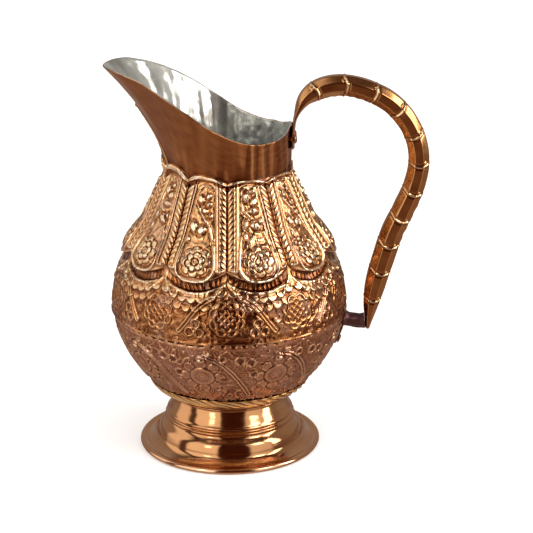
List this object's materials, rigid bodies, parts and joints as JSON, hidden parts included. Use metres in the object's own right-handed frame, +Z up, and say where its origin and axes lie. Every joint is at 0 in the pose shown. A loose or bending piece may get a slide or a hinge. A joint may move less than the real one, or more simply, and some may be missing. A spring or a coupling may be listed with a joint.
{
  "type": "copper water jug",
  "caption": "Tall pear-shaped copper jug with lobed shoulder, open beak spout, bamboo-ringed loop handle and spun foot.",
  "frame": {"origin": "on the table, under the middle of the jug's outline", "axes": "+Z up along the vessel's axis, -X towards the spout, +X towards the handle, -Y towards the side that the picture shows"},
  "size_m": [0.2277, 0.1684, 0.2801],
  "materials": {
    "chased_copper": "hand-chased copper, bright on the raised edges and brown in the hollows",
    "bowl_copper": "chased copper with a dull purplish brown patina",
    "polished_copper": "spun and polished copper",
    "wire_copper": "plain drawn copper wire",
    "handle_copper": "polished brown copper tube",
    "strut_copper": "heat-darkened copper from brazing",
    "rivet_copper": "hammered copper",
    "tin_lining": "wiped tin plating with a hammered texture"
  },
  "bodies": {
    "root": {"upper_body": "chased_copper", "lower_bowl": "bowl_copper", "joint_rope_ring": "chased_copper", "foot": "polished_copper", "foot_edge_wire": "wire_copper", "handle_tube": "handle_copper", "handle_strut": "strut_copper", "neck_rivet_front": "rivet_copper", "neck_rivet_back": "rivet_copper", "strut_rivet_front": "rivet_copper", "strut_rivet_back": "rivet_copper"}
  },
  "joints": []
}
